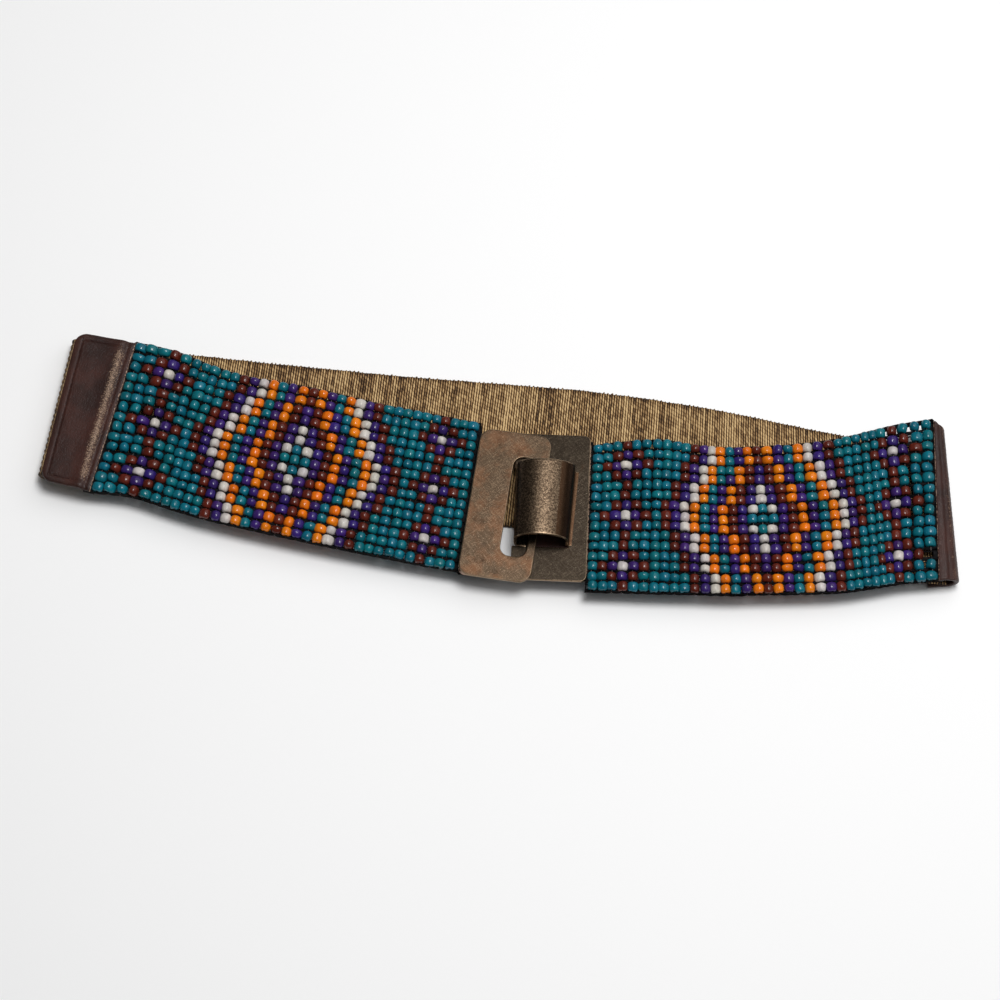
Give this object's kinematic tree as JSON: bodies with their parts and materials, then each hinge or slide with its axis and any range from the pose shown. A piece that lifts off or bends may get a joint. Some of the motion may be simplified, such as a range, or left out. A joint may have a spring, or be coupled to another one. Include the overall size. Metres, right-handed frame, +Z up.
{
  "type": "beaded_belt",
  "caption": "Stretch belt with loomed bead panels, leather ends, a two-plate hook buckle and a woven elastic back, fastened and lying flattened.",
  "frame": {"origin": "centre of the bounding box at the underside, on the surface that the belt lies on", "axes": "+X along the belt's front from the left fold to the right fold, +Y away from the near edge, +Z up from the surface"},
  "size_m": [0.366, 0.0896, 0.0227],
  "materials": {
    "woven_elastic": "ribbed weave, matt",
    "dark_leather": "smooth, soft sheen",
    "glass_beads": "glossy opaque glass seed beads",
    "antiqued_brass": "brushed, darkened"
  },
  "bodies": {
    "root": {"elastic_back": "woven_elastic", "end_tab_left": "dark_leather", "end_tab_right": "dark_leather", "bead_panel_left": "glass_beads", "bead_panel_right": "glass_beads", "buckle_frame": "antiqued_brass", "buckle_hook": "antiqued_brass", "backing_pad_left": "dark_leather", "backing_pad_right": "dark_leather"}
  },
  "joints": []
}
